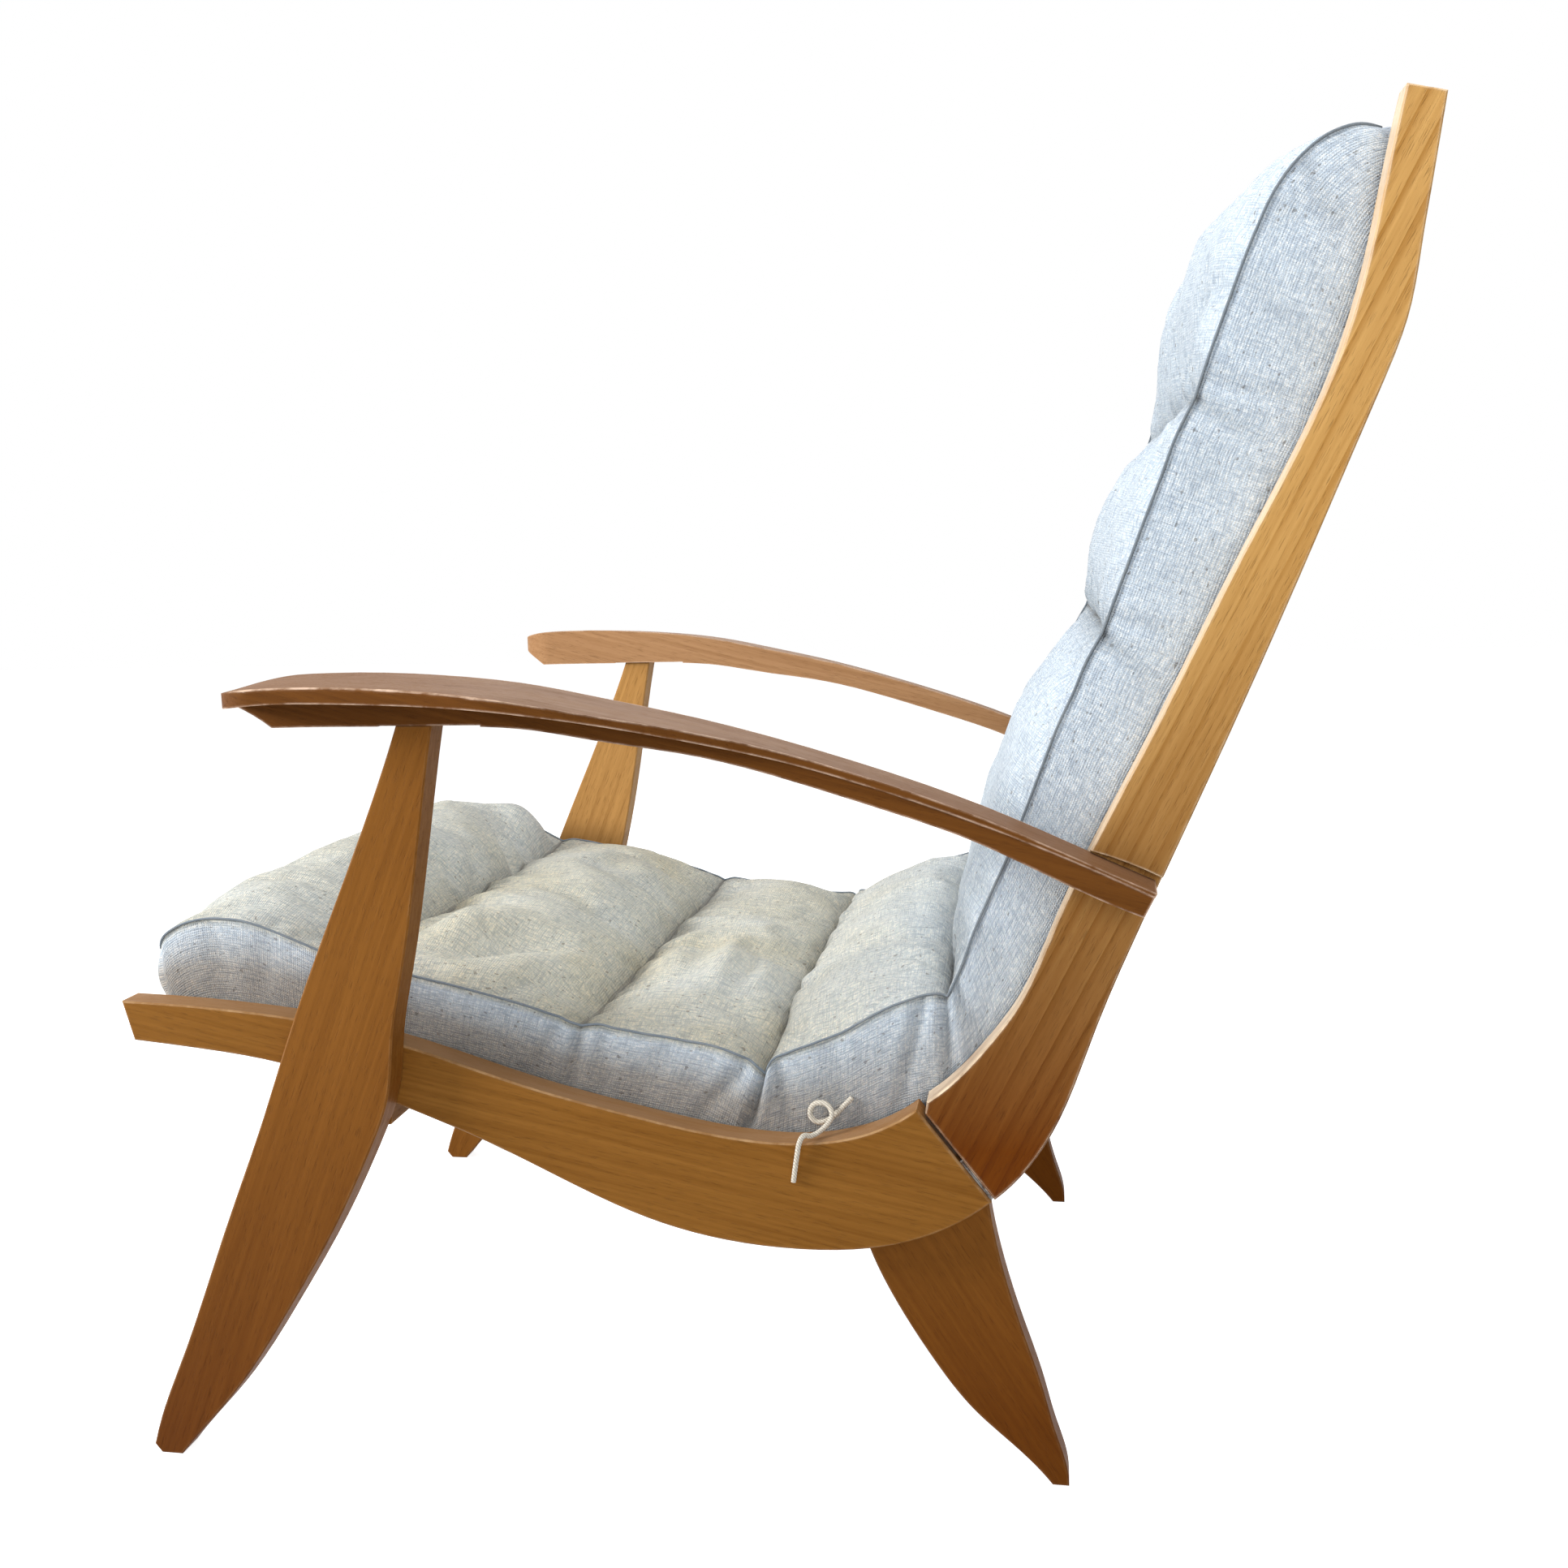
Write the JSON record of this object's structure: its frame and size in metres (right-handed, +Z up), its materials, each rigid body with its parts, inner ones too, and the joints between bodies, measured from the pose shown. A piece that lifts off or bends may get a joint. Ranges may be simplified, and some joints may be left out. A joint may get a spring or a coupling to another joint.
{
  "type": "reclining lounge armchair",
  "caption": "High-backed plank lounge armchair with blade legs, sculpted arms, hinged reclining back and channelled mattress",
  "frame": {"origin": "centre of the bounding box at floor level, where the feet stand", "axes": "+X from the front of the seat to the back, +Y to the sitter's right, +Z up"},
  "size_m": [0.988, 0.754, 1.007],
  "materials": {
    "frame_wood": "clear lacquer, honey toned",
    "arm_wood": "clear lacquer, red-brown",
    "dowel_wood": "raw beech",
    "steel": "dulled",
    "spring_sleeve": "woven cotton sleeve",
    "upholstery": "marled woven cloth",
    "cotton_cord": "twisted cotton"
  },
  "bodies": {
    "seat_frame": {"seat_rail_left": "frame_wood", "seat_rail_right": "frame_wood", "front_leg_left": "arm_wood", "front_leg_right": "arm_wood", "rear_leg_left": "frame_wood", "rear_leg_right": "frame_wood", "arm_left": "arm_wood", "arm_right": "arm_wood", "seat_front_cross_rail": "frame_wood", "seat_rear_cross_rail": "frame_wood", "frame_dowels": "dowel_wood", "hinge_leaf_seat_left": "steel", "hinge_leaf_seat_right": "steel", "hinge_pins": "steel", "arm_guide_screws": "steel", "seat_spring_hooks": "steel", "seat_springs": "spring_sleeve", "cushion_seat": "upholstery", "cushion_tie_cord": "cotton_cord"},
    "back_frame": {"back_post_left": "frame_wood", "back_post_right": "frame_wood", "back_lower_cross_rail": "frame_wood", "back_top_cross_rail": "frame_wood", "hinge_leaf_back_left": "steel", "hinge_leaf_back_right": "steel", "back_spring_hooks": "steel", "back_springs": "spring_sleeve", "cushion_back": "upholstery"}
  },
  "joints": [
    {"name": "back_recline", "type": "hinge", "parent": "seat_frame", "child": "back_frame", "pos_m": [0.2, 0, 0.244], "axis": [0, 1, 0], "range_deg": [0, 6]}
  ]
}
